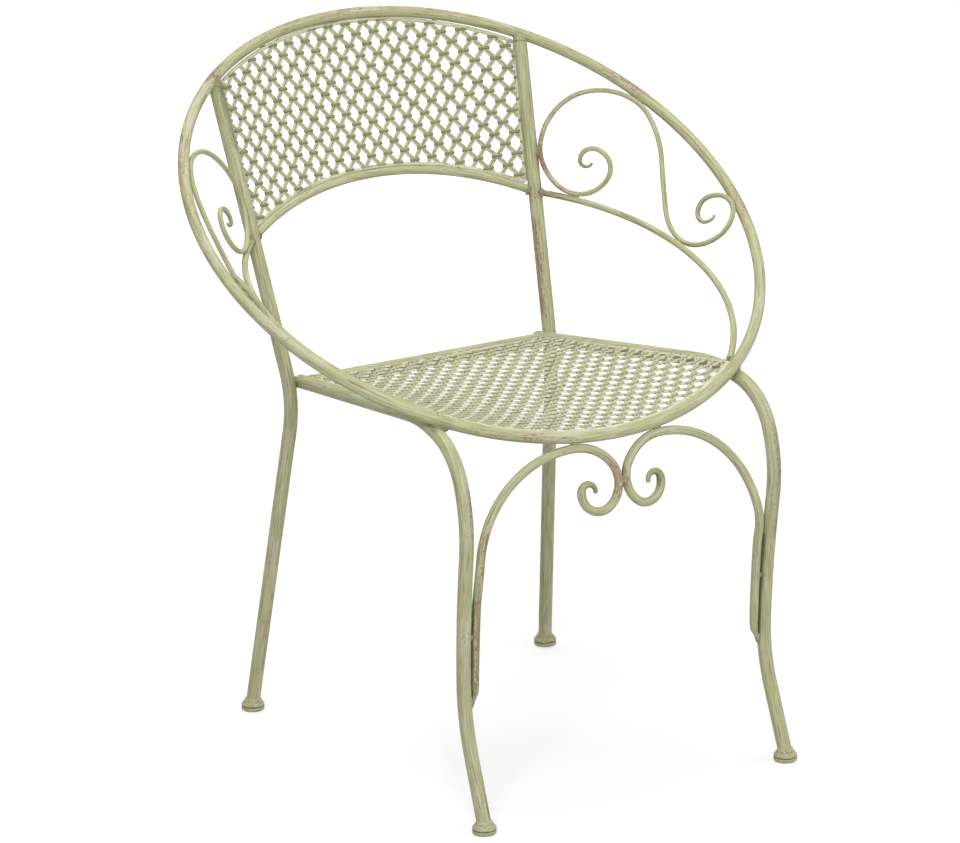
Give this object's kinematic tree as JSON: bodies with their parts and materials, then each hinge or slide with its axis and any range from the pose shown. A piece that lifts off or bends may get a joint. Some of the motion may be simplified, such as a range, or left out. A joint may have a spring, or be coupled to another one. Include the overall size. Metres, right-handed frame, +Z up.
{
  "type": "garden armchair",
  "caption": "Round-backed garden armchair of bent steel tube and scrolled rod with lattice seat and back, in worn pale green paint.",
  "frame": {"origin": "on the floor, under the middle of the chair's overall box", "axes": "+Z up; the chair faces -Y, so its back is towards +Y; +X is on the right of somebody who looks at its front"},
  "size_m": [0.6876, 0.6167, 0.788],
  "materials": {
    "tube_paint": "pale green brushed paint, worn through to brown in streaks and at the welds",
    "lattice_paint": "the same paint on thin knotted lattice sheet, browner in its creases",
    "foot_paint": "the same paint on the foot pads, worn brown at the rims"
  },
  "bodies": {
    "root": {"hoop": "tube_paint", "back_leg_left": "tube_paint", "back_leg_right": "tube_paint", "front_leg_left": "tube_paint", "front_leg_right": "tube_paint", "rear_seat_rail": "tube_paint", "lower_back_arc": "tube_paint", "arm_rod_left": "tube_paint", "arm_rod_right": "tube_paint", "side_scroll_left": "tube_paint", "side_scroll_right": "tube_paint", "front_scroll_left": "tube_paint", "front_scroll_right": "tube_paint", "front_scroll_nub_left": "tube_paint", "front_scroll_nub_right": "tube_paint", "seat_panel": "lattice_paint", "back_panel": "lattice_paint", "back_panel_rim": "lattice_paint", "front_foot_pad_left": "foot_paint", "front_foot_pad_right": "foot_paint", "back_foot_pad_left": "foot_paint", "back_foot_pad_right": "foot_paint"}
  },
  "joints": []
}
